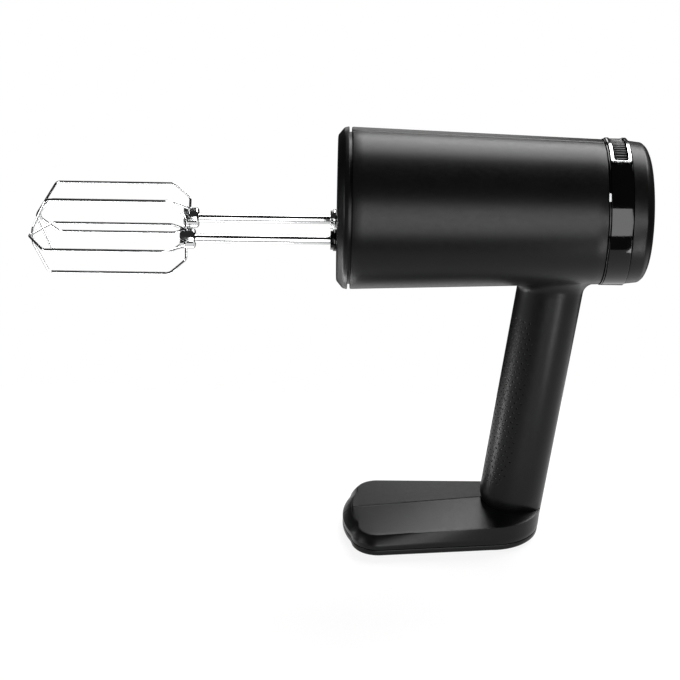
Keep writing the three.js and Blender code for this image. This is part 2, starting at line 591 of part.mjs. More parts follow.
function ejectSpring() {
  const [x0, x1] = [79.8, 105.2];
  const turns = 5;
  const section = new THREE.Shape().absarc(0, 0, 0.45, 0, 2 * Math.PI, false);
  const coil = new THREE.ExtrudeGeometry(section,
    { extrudePath: new Coil(5.4, x1 - x0, turns), steps: turns * 12, curveSegments: 2, bevelEnabled: false });
  return mesh('eject_spring', coil.translate(x0, 0, 0), steel());
}

// Rear bulkhead and the speed control board mounted on it
function rearBulkhead() {
  const x = 76;
  const stemHole = rod(x - 1, x + 4, EJECT.stemR + 0.4, 20);
  return mesh('rear_bulkhead', cut(rod(x, x + 3, 40.4, 36), stemHole), finish(0x3a3a3e, 0.6));
}

function controlBoard() {
  const x = 70;
  const parts = [block(x - 5, x + 0.2, -22, -10, 8, 20), block(x - 3, x + 0.2, 8, 20, 12, 18),
    block(x - 7, x + 0.2, 12, 22, -16, -6), block(x - 2.5, x + 0.2, -20, -12, -14, -6)];
  const disc = cut(rod(x, x + 1.6, 34, 32), rod(x - 1, x + 3, EJECT.stemR + 1.5, 20));
  return mesh('control_board', join(disc, ...parts), board());
}

// Cells stand one above the other along the handle
function cellColumn() {
  const lean = Math.atan(HANDLE.lean);
  const { radius, length, firstHeight } = CELL;
  const cell = (name, from, color) => {
    const profile = [[0, 0], [radius, 0], [radius, length - 2], [radius - 1.5, length - 1.2],
      [5, length - 1.2], [5, length], [0, length]].map(([r, z]) => new THREE.Vector2(r, z));
    const body = new THREE.LatheGeometry(profile, 24).rotateX(Math.PI / 2).translate(0, 0, from);
    return mesh(name, body, finish(color, 0.4));
  };
  const contact = (name, from) => mesh(name,
    new THREE.CylinderGeometry(11, 11, 1, 24).rotateX(Math.PI / 2).translate(0, 0, from + 0.5), steel());
  const column = group(HANDLE.footX + HANDLE.lean * firstHeight, 0, firstHeight,
    contact('contact_lower', -1 - GAP),
    cell('cell_lower', 0, 0x2f6fb0),
    cell('cell_upper', length + GAP, 0x2f6fb0),
    contact('contact_upper', 2 * length + 2 * GAP));
  column.rotation.y = lean;
  return column;
}

function chargeBoard() {
  const boardPiece = block(-14, 22, -14, 14, 8, 9.6);
  const parts = [block(-10, 0, -8, 4, 9.4, 12.6), block(6, 14, -10, -2, 9.4, 12),
    block(6, 18, 3, 9, 9.4, 11.5)];
  return mesh('charge_board', join(boardPiece, ...parts), board());
}

function chargeSocket() {
  const { x0, x1, halfWidth, z0, z1 } = SOCKET;
  const body = block(x0, x1 - 1.6, -halfWidth, halfWidth, z0, z1);
  const slot = block(x0 + 2, x1 + 1, -3.6, 3.6, z0 + 1.3, z1 - 1.3);
  return mesh('charge_socket', cut(body, slot), finish(0x55575a, 0.4, 1));
}

const speedMarker = () => mesh('speed_marker', markerBlock(0), finish(0xdadcdf, 0.3));

function build() {
  const barrelPieces = group(0, 0, AXIS_Z,
    frontCap(),
    gearbox(),
    motor(),
    beater('left', -1, 0, glossBlack()),
    beater('right', 1, Math.PI / 4, chrome()),
    trimRing(),
    speedMarker(),
    rearBand(),
    windowFrame(),
    speedDial(),
    rearCap(),
    ejectButton(),
    ejectYoke(),
    ejectSpring(),
    rearBulkhead(),
    controlBoard());
  const mixer = group(0, 0, 0,
    ...housingHalves(),
    ...caseScrews(),
    bottomPlate(),
    footPad(),
    ...baseScrews(),
    barrelPieces,
    cellColumn(),
    chargeBoard(),
    chargeSocket());
  mixer.name = 'hand_mixer';
  return mixer;
}

const handMixer = build();

export default handMixer;
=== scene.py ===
"""Visual model of a pistol-grip hand mixer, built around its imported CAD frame.

Helper functions work in millimetres in the part's frame: -X is forward along the beaters, +Z is up and
-Y is the mixer's left side. Points turn into metres when they become a mesh.
"""
import json
import math

import bmesh
import bpy
from mathutils import Matrix, Vector


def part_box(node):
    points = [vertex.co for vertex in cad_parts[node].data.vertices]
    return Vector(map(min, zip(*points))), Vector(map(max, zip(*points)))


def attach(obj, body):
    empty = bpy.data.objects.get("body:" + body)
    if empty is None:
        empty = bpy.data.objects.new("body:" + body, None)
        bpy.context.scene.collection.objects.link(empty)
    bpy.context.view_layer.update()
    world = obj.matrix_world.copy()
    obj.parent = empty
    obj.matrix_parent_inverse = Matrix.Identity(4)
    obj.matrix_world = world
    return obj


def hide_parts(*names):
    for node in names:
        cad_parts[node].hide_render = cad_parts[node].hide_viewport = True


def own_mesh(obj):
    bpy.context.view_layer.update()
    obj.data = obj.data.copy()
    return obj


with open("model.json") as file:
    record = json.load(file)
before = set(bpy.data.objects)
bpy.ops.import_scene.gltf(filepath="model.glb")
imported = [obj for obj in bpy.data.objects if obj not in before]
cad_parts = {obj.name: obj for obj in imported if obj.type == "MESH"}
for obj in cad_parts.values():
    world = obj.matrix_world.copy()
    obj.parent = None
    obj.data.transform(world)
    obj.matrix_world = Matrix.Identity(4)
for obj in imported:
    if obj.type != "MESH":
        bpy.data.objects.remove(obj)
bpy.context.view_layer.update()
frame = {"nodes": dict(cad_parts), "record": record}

MM = 0.001
GAP = 0.3            # clearance where two pieces meet
WALL = 2.6           # thickness of the housing
ON_AXIS = 1e-6       # a smaller radius counts as a point on the axis
MERGE = 1e-6         # in metres: vertices closer than this become one
NOISE_RANGE = (0.3, 0.7)   # nearly all values of a noise texture lie in it
FULL_TURN = 2 * math.pi


def extent(node):
    """Lowest and highest corner of a CAD node."""
    low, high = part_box(node)
    return [c / MM for c in low], [c / MM for c in high]


CAP_LOW, CAP_HIGH = extent("front_cap")
BAND_LOW, BAND_HIGH = extent("rear_band")
REAR_LOW, REAR_HIGH = extent("rear_cap")
TRIM_LOW, TRIM_HIGH = extent("trim_ring")
WINDOW_LOW, WINDOW_HIGH = extent("window_frame")
DIAL_LOW, DIAL_HIGH = extent("speed_dial")
BUTTON_LOW, BUTTON_HIGH = extent("eject_button")
PLATE_LOW = extent("bottom_plate")[0]
PAD_HIGH = extent("foot_pad")[1]
SPINDLE_LOW, SPINDLE_HIGH = extent("spindle_right")

AXIS_Z = (CAP_LOW[2] + CAP_HIGH[2]) / 2
SPINDLE_Y = (SPINDLE_LOW[1] + SPINDLE_HIGH[1]) / 2
SPINDLE_Z = (SPINDLE_LOW[2] + SPINDLE_HIGH[2]) / 2

# Main sizes, with angles in degrees. They are the CAD's, apart from the grip's lip and the dial's grooves,
# which follow the photo more closely. The foot's crease is given as (x, inset) and its ridge as (x, z).
BARREL = dict(front=-60.5, rear=87.7, front_r=48.2, rear_r=43.1, edge=0.7)
SEAM = dict(depth=0.32, half_width=0.6, steps=(0.001, 0.3, 0.6))
HANDLE = dict(foot_x=41.4, lean=0.118, depth=20.1, width=0.92, fillet=6.2, fillet_change=1.6,
              lip_x=25.5, lip_z=21.5, lip_slope=0.03, neck=4.5, lip_round=9.0, lip_from=30, lip_fade=45)
FOOT = dict(corner_x=-40, corner_y=24.5, corner_r=16.2, front_r=60, front_x=-1.5, rear_x=29.7, rear_r=31.8,
            seam_z=5.7, crease_z=16.45, crease_rise=0.045, crease_front=(-34, 4.0), crease_rear=(24, 0.3),
            ridge_front=(-55, 14.7), ridge_rear=(45, 25.4), wall_top=9)
# The grip's recesses: profile is (radius, height over the surface), trimmed the rows left out at both ends
DIMPLE = dict(pitch=6.6, step=5.5, top_z=149.0, rows=17, columns=13, trimmed={12: 2, 11: 1},
              profile=((0.30, -0.42), (0.52, -0.34), (0.62, -0.16), (0.70, 0.0), (0.86, 0.2)))
BAND = dict(lip_r=39.5, inner_r=43.4, wall=0.9)
WINDOW = dict(seat_r=43.1, bezel_r=43.4, open_r=41, clear_r=46, margin=0.5, border=2.4, corner=2.2,
              open_corner=1.0, chamfer=0.45)
# One rib is (degrees from its middle, share of its height)
DIAL = dict(inner_r=36.2, root_r=41.6, tip_r=43.05, pitch=3.4, first=-78.2, ribs=33, edge=0.45,
            rib=((-0.95, 0.0), (-0.75, 0.1), (-0.62, 0.55), (-0.45, 0.9), (-0.18, 1.0),
                 (0.18, 1.0), (0.45, 0.9), (0.62, 0.55), (0.75, 0.1), (0.95, 0.0)))
# Screw places, (x, z) for those across the case and (x, y) for those in the base
CASE_SCREWS = [(4, AXIS_Z + 33), (60, AXIS_Z + 31), (63, 169)]
BASE_SCREWS = [(-38, -23), (-38, 23), (30, -21), (30, 21)]
PILOT_R = 1.6
BEATER = dict(shaft_r=2.65, wire_r=0.72, cage_r=22.6, hub_front=-161.1, hub_rear=-152, hub_r=6.15,
              entry=-157.7, shoulder_r=13.6, rear_corner=-167.7, front_corner=-239.5,
              outer_nose=-250.6, inner_nose=-248.3, nose_r=4.2, drive_start=-60, drive_end=-21.8)

# Fitted to the photo: lens in millimetres, angles in degrees, place in metres
CAMERA = dict(lens=110.4, shift_x=0.0288, pitch=23.59, roll=0.89, place=(-0.0774, -1.1694, 0.6401))


# ---------------------------------------------------------------- materials
class Nodes:
    """A small material builder around one Principled BSDF."""

    def __init__(self, name):
        self.material = bpy.data.materials.new(name)
        self.material.use_nodes = True
        self.tree = self.material.node_tree
        self.shader = next(n for n in self.tree.nodes if n.type == "BSDF_PRINCIPLED")
        self.where = self.tree.nodes.new("ShaderNodeTexCoord").outputs["Object"]

    def add(self, kind, **inputs):
        node = self.tree.nodes.new(kind)
        for key, value in inputs.items():
            node.inputs[key.replace("_", " ")].default_value = value
        return node

    def link(self, source, target):
        self.tree.links.new(source, target)

    def stretched(self, scale, turn=(0, 0, 0)):
        mapping = self.add("ShaderNodeMapping")
        mapping.inputs["Scale"].default_value = scale
        mapping.inputs["Rotation"].default_value = turn
        self.link(self.where, mapping.inputs["Vector"])
        return mapping.outputs["Vector"]

    def noise(self, scale, detail=3, rough=0.55, vector=None):
        node = self.add("ShaderNodeTexNoise", Scale=scale, Detail=detail, Roughness=rough)
        self.link(vector or self.where, node.inputs["Vector"])
        return node.outputs["Fac"]

    def spread(self, value, low, high):
        node = self.add("ShaderNodeMapRange")
        for key, number in zip(("From Min", "From Max", "To Min", "To Max"), (*NOISE_RANGE, low, high)):
            node.inputs[key].default_value = number
        self.link(value, node.inputs["Value"])
        return node.outputs["Result"]

    def tint(self, value, first, second):
        ramp = self.tree.nodes.new("ShaderNodeValToRGB")
        for element, position, colour in zip(ramp.color_ramp.elements, NOISE_RANGE, (first, second)):
            element.position = position
            element.color = (*colour, 1)
        self.link(value, ramp.inputs["Fac"])
        self.link(ramp.outputs["Color"], self.shader.inputs["Base Color"])

    def rough(self, value, low, high):
        self.link(self.spread(value, low, high), self.shader.inputs["Roughness"])

    def bump(self, *layers):
        """Layers of (height value, depth in metres, strength), each on top of the one before."""
        normal = None
        for height, depth, strength in layers:
            node = self.add("ShaderNodeBump", Strength=strength, Distance=depth)
            self.link(height, node.inputs["Height"])
            if normal:
                self.link(normal, node.inputs["Normal"])
            normal = node.outputs["Normal"]
        self.link(normal, self.shader.inputs["Normal"])


def moulded(name, first, second, rough, grain=2600, depth=0.00004, specular=0.5, strength=0.5):
    """Moulded plastic or rubber: fine spark-eroded grain over faint mould flow."""
    n = Nodes(name)
    n.shader.inputs["Specular IOR Level"].default_value = specular
    cloud = n.noise(60, 4)
    fine = n.noise(grain, 2, 0.6)
    n.tint(cloud, first, second)
    n.rough(n.noise(420, 3), *rough)
    n.bump((n.noise(90, 2), 0.0001, 0.06), (fine, depth, strength))
    return n.material


def metal(name, first, second, rough, stretch=(8, 900, 900), depth=0.00001, strength=0.25):
    """Drawn or polished metal with fine lines along X and faint smudges."""
    n = Nodes(name)
    n.shader.inputs["Metallic"].default_value = 1
    lines = n.noise(1, 3, 0.6, n.stretched(stretch))
    n.tint(n.noise(45, 3), first, second)
    n.rough(n.noise(160, 4, 0.65), *rough)
    n.bump((lines, depth, strength))
    return n.material


def circuit_board():
    n = Nodes("board_green")
    brick = n.add("ShaderNodeTexBrick", Scale=260.0)
    brick.inputs["Color1"].default_value = (0.012, 0.10, 0.035, 1)
    brick.inputs["Color2"].default_value = (0.02, 0.15, 0.05, 1)
    brick.inputs["Mortar"].default_value = (0.10, 0.22, 0.08, 1)
    brick.inputs["Mortar Size"].default_value = 0.03
    n.link(n.stretched((1, 1, 1), (0, math.pi / 2, 0)), brick.inputs["Vector"])
    n.link(brick.outputs["Color"], n.shader.inputs["Base Color"])
    n.rough(n.noise(500, 2), 0.3, 0.5)
    n.bump((brick.outputs["Fac"], 0.00003, 0.4))
    return n.material


def windings():
    n = Nodes("copper")
    n.shader.inputs["Metallic"].default_value = 1
    wave = n.add("ShaderNodeTexWave", Scale=420.0, Distortion=1.2, Detail=2.0)
    n.link(n.where, wave.inputs["Vector"])
    n.tint(wave.outputs["Fac"], (0.30, 0.10, 0.04), (0.62, 0.26, 0.12))
    n.rough(n.noise(300), 0.25, 0.45)
    n.bump((wave.outputs["Fac"], 0.0001, 0.5))
    return n.material


MATERIALS = {
    "soft_black": moulded("soft_black", (0.0018, 0.0018, 0.0019), (0.0026, 0.0026, 0.0027),
                          (0.31, 0.37), specular=0.15, strength=0.3),
    "gloss_black": moulded("gloss_black", (0.0010, 0.0010, 0.0011), (0.0014, 0.0014, 0.0015),
                           (0.05, 0.09), grain=700, depth=0.000004, strength=0.15, specular=0.22),
    "dial_black": moulded("dial_black", (0.003, 0.003, 0.003), (0.005, 0.005, 0.005), (0.3, 0.4),
                          grain=1800),
    "pad_rubber": moulded("pad_rubber", (0.012, 0.012, 0.012), (0.020, 0.020, 0.020), (0.75, 0.9),
                          grain=1500),
    "dark_nylon": moulded("dark_nylon", (0.022, 0.022, 0.025), (0.03, 0.03, 0.034), (0.5, 0.65)),
    "fan_plastic": moulded("fan_plastic", (0.42, 0.44, 0.46), (0.5, 0.52, 0.54), (0.4, 0.55)),
    "acetal": moulded("acetal", (0.72, 0.69, 0.60), (0.8, 0.77, 0.69), (0.3, 0.42)),
    "cell_sleeve": moulded("cell_sleeve", (0.02, 0.11, 0.30), (0.03, 0.14, 0.36), (0.25, 0.38),
                           grain=900),
    "marker_white": moulded("marker_white", (0.62, 0.63, 0.64), (0.7, 0.71, 0.72), (0.25, 0.35)),
    "chrome": metal("chrome", (0.58, 0.585, 0.59), (0.66, 0.665, 0.67), (0.08, 0.14)),
    "steel": metal("steel", (0.42, 0.43, 0.45), (0.54, 0.55, 0.57), (0.25, 0.4)),
    "can_steel": metal("can_steel", (0.38, 0.39, 0.41), (0.46, 0.47, 0.49), (0.3, 0.45),
                       stretch=(900, 30, 30)),
    "bronze": metal("bronze", (0.42, 0.24, 0.09), (0.52, 0.31, 0.13), (0.35, 0.5)),
    "socket_metal": metal("socket_metal", (0.30, 0.31, 0.33), (0.38, 0.39, 0.41), (0.25, 0.4)),
    "copper": windings(),
    "board_green": circuit_board(),
}


# ---------------------------------------------------------------- mesh helpers
def make(name, verts, faces, slots=("soft_black",), face_slots=None):
    """A closed mesh object from points in millimetres."""
    mesh = bpy.data.meshes.new(name)
    mesh.from_pydata([tuple(c * MM for c in v) for v in verts], [], faces)
    for slot in slots:
        mesh.materials.append(MATERIALS[slot])
    if face_slots:
        mesh.polygons.foreach_set("material_index", face_slots)
    bm = bmesh.new()
    bm.from_mesh(mesh)
    bmesh.ops.remove_doubles(bm, verts=bm.verts, dist=MERGE)
    bmesh.ops.recalc_face_normals(bm, faces=bm.faces)
    bm.to_mesh(mesh)
    bm.free()
    obj = bpy.data.objects.new(name, mesh)
    bpy.context.scene.collection.objects.link(obj)
    return obj


def join_parts(parts):
    """Vertex and face lists of several closed shells as one pair of lists."""
    verts, faces = [], []
    for part_verts, part_faces in parts:
        start = len(verts)
        verts += part_verts
        faces += [[start + i for i in face] for face in part_faces]
    return verts, faces


def moved(part, place):
    """A part's vertices turned and shifted by a 4x4 matrix, with its faces."""
    verts, faces = part
    return [tuple(place @ Vector(v)) for v in verts], faces


def lathe(profile, centre=(0, 0), steps=128, change=None, angles=None):
    """Turns (x, radius) points about an axis along X through centre, (y, z).

    A profile that doesn't end on the axis is closed. change gives how much less the radius is somewhere.
    """
    angles = angles or [FULL_TURN * i / steps for i in range(steps)]
    count = len(angles)
    verts, rows, faces = [], [], []
    for x, radius in profile:
        if radius < ON_AXIS:
            rows.append([len(verts)])
            verts.append((x, centre[0], centre[1]))
            continue
        rows.append(list(range(len(verts), len(verts) + count)))
        for angle in angles:
            r = radius - (change(x, radius, angle) if change else 0)
            verts.append((x, centre[0] + r * math.sin(angle), centre[1] + r * math.cos(angle)))
    closed = len(rows[0]) > 1
    pairs = list(zip(rows, rows[1:])) + ([(rows[-1], rows[0])] if closed else [])
    for a, b in pairs:
        for i in range(count):
            j = (i + 1) % count
            if len(a) == 1:
                faces.append([a[0], b[j], b[i]])
            elif len(b) == 1:
                faces.append([a[i], a[j], b[0]])
            else:
                faces.append([a[i], a[j], b[j], b[i]])
    return verts, faces


def loft(rings):
    """Skins rings of equal length and closes both ends."""
    count = len(rings[0])
    verts = [point for ring in rings for point in ring]
    faces = [list(range(count))[::-1], list(range(len(verts) - count, len(verts)))]
    for k in range(len(rings) - 1):
        a, b = k * count, (k + 1) * count
        faces += [[a + i, a + (i + 1) % count, b + (i + 1) % count, b + i] for i in range(count)]
    return verts, faces


def soften(points, radius, closed=False, steps=4):
    """Rounds the corners of a flat outline. radius is one size, or one for each corner."""
    result = []
    count = len(points)
    for i, point in enumerate(points):
        size = radius[i] if isinstance(radius, (list, tuple)) else radius
        if size <= 0 or (not closed and i in (0, count - 1)):
            result.append(tuple(point))
            continue
        here = Vector(point)
        before, after = Vector(points[i - 1]) - here, Vector(points[(i + 1) % count]) - here
        a = here + before.normalized() * min(size, before.length * 0.49)
        b = here + after.normalized() * min(size, after.length * 0.49)
        for k in range(steps + 1):
            t = k / steps
            result.append(tuple(a * (1 - t) ** 2 + here * 2 * t * (1 - t) + b * t ** 2))
    return result


def sweep(path, radius, sides=14):
    """A round wire along a path."""
    points = [Vector(p) for p in path]
    rings = []
    side = None
    for i, point in enumerate(points):
        ahead = points[min(i + 1, len(points) - 1)] - point
        behind = point - points[max(i - 1, 0)]
        direction = (ahead.normalized() + behind.normalized()).normalized()
        if side is None:
            side = direction.orthogonal().normalized()
        side = (side - direction * side.dot(direction)).normalized()
        other = direction.cross(side)
        rings.append([tuple(point + radius * (math.cos(a) * side + math.sin(a) * other))
                      for a in (FULL_TURN * k / sides for k in range(sides))])
    return loft(rings)


def box(x0, x1, y0, y1, z0, z1):
    ring = [(x0, y0), (x1, y0), (x1, y1), (x0, y1)]
    return loft([[(x, y, z0) for x, y in ring], [(x, y, z1) for x, y in ring]])


def prism(outline, start, end, axis):
    """Draws an outline out along an axis. Its points hold the other two coordinates, in their XYZ order."""
    place = {"X": lambda a, b, t: (t, a, b),
             "Y": lambda a, b, t: (a, t, b),
             "Z": lambda a, b, t: (a, b, t)}[axis]
    return loft([[place(a, b, start) for a, b in outline], [place(a, b, end) for a, b in outline]])


def circle(centre, radius, steps=32):
    return [(centre[0] + radius * math.cos(FULL_TURN * i / steps),
             centre[1] + radius * math.sin(FULL_TURN * i / steps)) for i in range(steps)]


def twin(obj):
    """A copy of an object with a mesh of its own."""
    copy = obj.copy()
    copy.data = obj.data.copy()
    bpy.context.scene.collection.objects.link(copy)
    return copy


def combine(obj, parts, operation, slots=("soft_black",), face_slots=None):
    """Unites obj with closed shells, cuts them from it, or keeps what they share."""
    tool = make("tool", *parts, slots=slots, face_slots=face_slots)
    modifier = obj.modifiers.new("solid", "BOOLEAN")
    modifier.operation = operation
    modifier.solver = "MANIFOLD"
    modifier.object = tool
    evaluated = obj.evaluated_get(bpy.context.evaluated_depsgraph_get())
    mesh = bpy.data.meshes.new_from_object(evaluated)
    obj.modifiers.clear()
    old, obj.data = obj.data, mesh
    mesh.name = obj.name
    bpy.data.meshes.remove(old)
    bpy.data.objects.remove(tool)


def finish_piece(obj, body, slot, *nodes, sharp=32):
    """Smooth shading with crisp edges, then the piece's body and the nodes it replaces; the slot argument is
    not used.
    """
    obj.data.shade_smooth()
    obj.data.set_sharp_from_angle(angle=math.radians(sharp))
    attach(obj, body)
    if nodes:
        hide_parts(*nodes)
    return obj


# ---------------------------------------------------------------- housing
def barrel_radius(x):
    t = (x - BARREL["front"]) / (BARREL["rear"] - BARREL["front"])
    return BARREL["front_r"] + t * (BARREL["rear_r"] - BARREL["front_r"])


def seam_drop(y):
    """Depth of the fine groove where the halves meet."""
    return SEAM["depth"] * max(0.0, 1 - abs(y) / SEAM["half_width"])


def seam_angles(radius, count):
    """Angles round a section, with extra ones at both seams to shape the groove."""
    angles = []
    for middle in (0, math.pi):
        angles += [middle + side * y / radius for y in SEAM["steps"] for side in (-1, 1)]
    angles += [FULL_TURN * i / count for i in range(count) if i % (count // 2)]
    return sorted({round(a % FULL_TURN, 6) for a in angles})


def barrel_outer():
    x0, x1, edge, steps = BARREL["front"], BARREL["rear"], BARREL["edge"], 24
    mean_r, groove_from_r = 45.5, 42      # end faces have no groove further in than the second of these
    span = x1 - x0 - 2 * edge
    profile = [(x0, 0), (x0, 40), (x0, barrel_radius(x0) - 0.6), (x0 + 0.2, barrel_radius(x0) - 0.15),
               (x0 + edge, barrel_radius(x0))]
    profile += [(x, barrel_radius(x)) for x in (x0 + edge + span * i / steps for i in range(1, steps + 1))]
    profile += [(x1 - 0.2, barrel_radius(x1) - 0.15), (x1, barrel_radius(x1) - 0.6), (x1, 36), (x1, 0)]
    drop = lambda x, r, a: seam_drop(r * math.sin(a)) if r > groove_from_r else 0
    return lathe(profile, (0, AXIS_Z), change=drop, angles=seam_angles(mean_r, 160))


def barrel_inner():
    beyond = 5
    x0, x1 = BARREL["front"] - beyond, BARREL["rear"] + beyond
    return lathe([(x0, 0), (x0, barrel_radius(x0) - WALL), (x1, barrel_radius(x1) - WALL), (x1, 0)],
                 (0, AXIS_Z), steps=96)


def smooth_step(t):
    t = min(1.0, max(0.0, t))
    return t * t * (3 - 2 * t)


def handle_point(angle, z, inset):
    depth = HANDLE["depth"]
    x = HANDLE["foot_x"] + HANDLE["lean"] * z + (depth - inset) * math.cos(angle)
    y = (HANDLE["width"] * depth - inset) * math.sin(angle)
    return x, y, z


def lip_inset(angle, z):
    """How far the neck stands in from the grip below its sloping lip. It fades out towards the back."""
    from_back = abs((angle + math.pi) % FULL_TURN - math.pi)
    fade = (from_back - math.radians(HANDLE["lip_from"])) / math.radians(HANDLE["lip_fade"])
    amount = HANDLE["neck"] * smooth_step(fade)
    x = handle_point(angle, z, 0)[0]
    lip_z = HANDLE["lip_z"] - HANDLE["lip_slope"] * (x - HANDLE["lip_x"])
    height = (z - lip_z) / HANDLE["lip_round"]
    if height >= 1:
        return 0.0
    if height <= 0:
        return amount
    return amount * (1 - math.sqrt(1 - (1 - height) ** 2))


def under_barrel(x, y):
    return AXIS_Z - math.sqrt(barrel_radius(x) ** 2 - y * y)


def fillet_point(angle, turn):
    """A point of the fillet from the handle, where turn is 0, to the barrel, where it is 1."""
    size = HANDLE["fillet"] + HANDLE["fillet_change"] * math.cos(angle)
    phi = turn * math.pi / 2
    out = size * (1 - math.cos(phi))
    z = 165.0        # near enough for the search below to settle
    for _ in range(8):
        x, y, _ = handle_point(angle, z, -out)
        z = under_barrel(x, y) - size * (1 - math.sin(phi))
    return handle_point(angle, z, -out)


def handle_outer():
    """The handle from inside the foot, past the lip and up the grip, to its fillet inside the barrel."""
    half_width = HANDLE["width"] * HANDLE["depth"]
    angles = seam_angles(half_width, 120)
    groove = [seam_drop(half_width * math.sin(a)) for a in angles]
    grip_steps, fillet_steps = 24, 8
    overlap, root = 0.03, 3
    rings = []
    for z in [8] + [11 + 0.75 * i for i in range(40)]:
        rings.append([handle_point(a, z, lip_inset(a, z) + g) for a, g in zip(angles, groove)])
    start_z = rings[-1][0][2]
    for k in range(1, grip_steps + 1):
        ring = []
        for a, g in zip(angles, groove):
            end_z = fillet_point(a, 0)[2]
            ring.append(handle_point(a, start_z + (end_z - start_z) * k / grip_steps, g))
        rings.append(ring)
    for k in range(1, fillet_steps + 1):
        sunk = overlap * (k == fillet_steps)
        rings.append([(x, y, z + sunk) for x, y, z in (fillet_point(a, k / fillet_steps) for a in angles)])
    rings.append([(x, y, z + root) for x, y, z in rings[-1]])
    return loft(rings)


def column(inset, z0, z1, steps=64):
    """The handle's section, inset all round and without its lip, from z0 to z1."""
    return loft([[handle_point(FULL_TURN * i / steps, z, inset) for i in range(steps)] for z in (z0, z1)])


def level(z):
    """A height for foot_ring that doesn't change along X."""
    return lambda x: z


def foot_ring(inset, front_inset, height, fine=3):
    """The foot's plan at a height that may vary along X. The inset may be a function of X too."""
    def arc(cx, cy, radius, start, end, count):
        points = []
        for i in range(count * fine + 1):
            angle = math.radians(start + (end - start) * i / (count * fine))
            reach = radius - (inset(cx + radius * math.cos(angle)) if callable(inset) else inset)
            points.append((cx + reach * math.cos(angle), cy + reach * math.sin(angle)))
        return points

    def straight(first, last, steps=16):
        return [tuple(Vector(first).lerp(Vector(last), i / steps)) for i in range(1, steps)]

    f = FOOT
    left = arc(f["corner_x"], f["corner_y"], f["corner_r"], 85, 165, 5)
    front = arc(f["front_x"], 0, f["front_r"] - front_inset, 157, 203, 6)
    right = arc(f["corner_x"], -f["corner_y"], f["corner_r"], 195, 275, 5)
    shift = HANDLE["lean"] * height(f["rear_x"])
    rear = arc(f["rear_x"] + shift, 0, f["rear_r"], -88, 88, 12)
    outline = left + front + right + straight(right[-1], rear[0]) + rear + straight(rear[-1], left[0])
    return [(x, y, height(x)) for x, y in outline]


def crease_inset(inset):
    """The crease stands well in from the foot's edge at the front and meets it towards the handle."""
    (x0, front), (x1, rear) = FOOT["crease_front"], FOOT["crease_rear"]
    return lambda x: inset + front + (rear - front) * min(1.0, max(0.0, (x - x0) / (x1 - x0)))


def crease_height(drop):
    return lambda x: FOOT["crease_z"] + FOOT["crease_rise"] * x - drop


def foot_shape(inset, bottom_z, edge=0.0):
    """Foot with a folded top: a rounded crease all round, then two faces that meet on a ridge."""
    rings = []
    if edge:
        rings += [foot_ring(inset + edge, 0, level(bottom_z)),
                  foot_ring(inset + edge * 0.3, 0, level(bottom_z + edge * 0.3))]
    rings += [foot_ring(inset, 0, level(bottom_z + edge)), foot_ring(inset, 0, level(FOOT["wall_top"]))]
    low, high = rings[-1], foot_ring(crease_inset(inset), 1.4, crease_height(inset))
    (front_x, front_z), (rear_x, rear_z) = FOOT["ridge_front"], FOOT["ridge_rear"]
    run, outside = rear_x - front_x - inset, inset == 0
    bulge, groove_half, groove_depth = 0.5, 0.6, 0.3

    def ridge_at(x):
        t = min(1.0, max(0.0, (x - front_x - inset) / run))
        return front_x + inset + t * run, 0.0, front_z + t * (rear_z - front_z) - inset

    def side(point_low, point_high, t):
        x, y, z = (a + (b - a) * t for a, b in zip(point_low, point_high))
        return x, y, z + bulge * math.sin(math.pi * t) * outside

    for t in (0.12, 0.3, 0.5, 0.7, 0.85, 0.94):
        rings.append([side(a, b, t) for a, b in zip(low, high)])
    top = [ridge_at(p[0]) for p in high]
    for t in (0.0, 0.02, 0.06, 0.15, 0.3, 0.5, 0.7, 0.85, 0.95):
        lift = (0, 0, {0.0: -0.12, 0.02: -0.02}.get(t, 0.0))      # this rounds the crease
        rings.append([tuple(a + (b - a) * t + up for a, b, up in zip(p, q, lift)) for p, q in zip(high, top)])
    rings.append([(q[0], math.copysign(groove_half, p[1]) * min(1, abs(p[1]) / 4), q[2] - 0.02)
                  for p, q in zip(high, top)])
    rings.append([(q[0], 0.0, q[2] - groove_depth * outside) for q in top])
    verts, faces = loft(rings)
    return verts, faces[:1] + faces[2:]


def across(place, y0, y1, radius):
    """Round rod along Y. place is (x, z)."""
    return prism(circle(place, radius), y0, y1, "Y")


def uprights(z0, z1, radius):
    """Round rods along Z, one at each base screw."""
    return join_parts([prism(circle(place, radius), z0, z1, "Z") for place in BASE_SCREWS])


def dimples(side):
    """Small polished recesses in staggered columns over the front of the grip."""
    depth, width = HANDLE["depth"], HANDLE["depth"] * HANDLE["width"]
    parts = []
    for column_at in range(DIMPLE["columns"]):
        angle = math.pi - side * (column_at + 0.5) * math.radians(DIMPLE["step"])
        trimmed = DIMPLE["trimmed"].get(column_at, 0)
        for row in range(trimmed, DIMPLE["rows"] - trimmed):
            z = DIMPLE["top_z"] - DIMPLE["pitch"] * (row + 0.5 * (column_at % 2))
            place = Vector(handle_point(angle, z, 0))
            normal = Vector((math.cos(angle) / depth, math.sin(angle) / width, 0))
            normal.z = -HANDLE["lean"] * normal.x
            normal.normalize()
            right = normal.orthogonal().normalized()
            up = normal.cross(right)
            rings = []
            for radius, height in DIMPLE["profile"]:
                rings.append([tuple(place + normal * height
                                    + radius * (math.cos(a) * right + math.sin(a) * up))
                              for a in (FULL_TURN * k / 12 for k in range(12))])
            parts.append(loft(rings))
    return join_parts(parts)


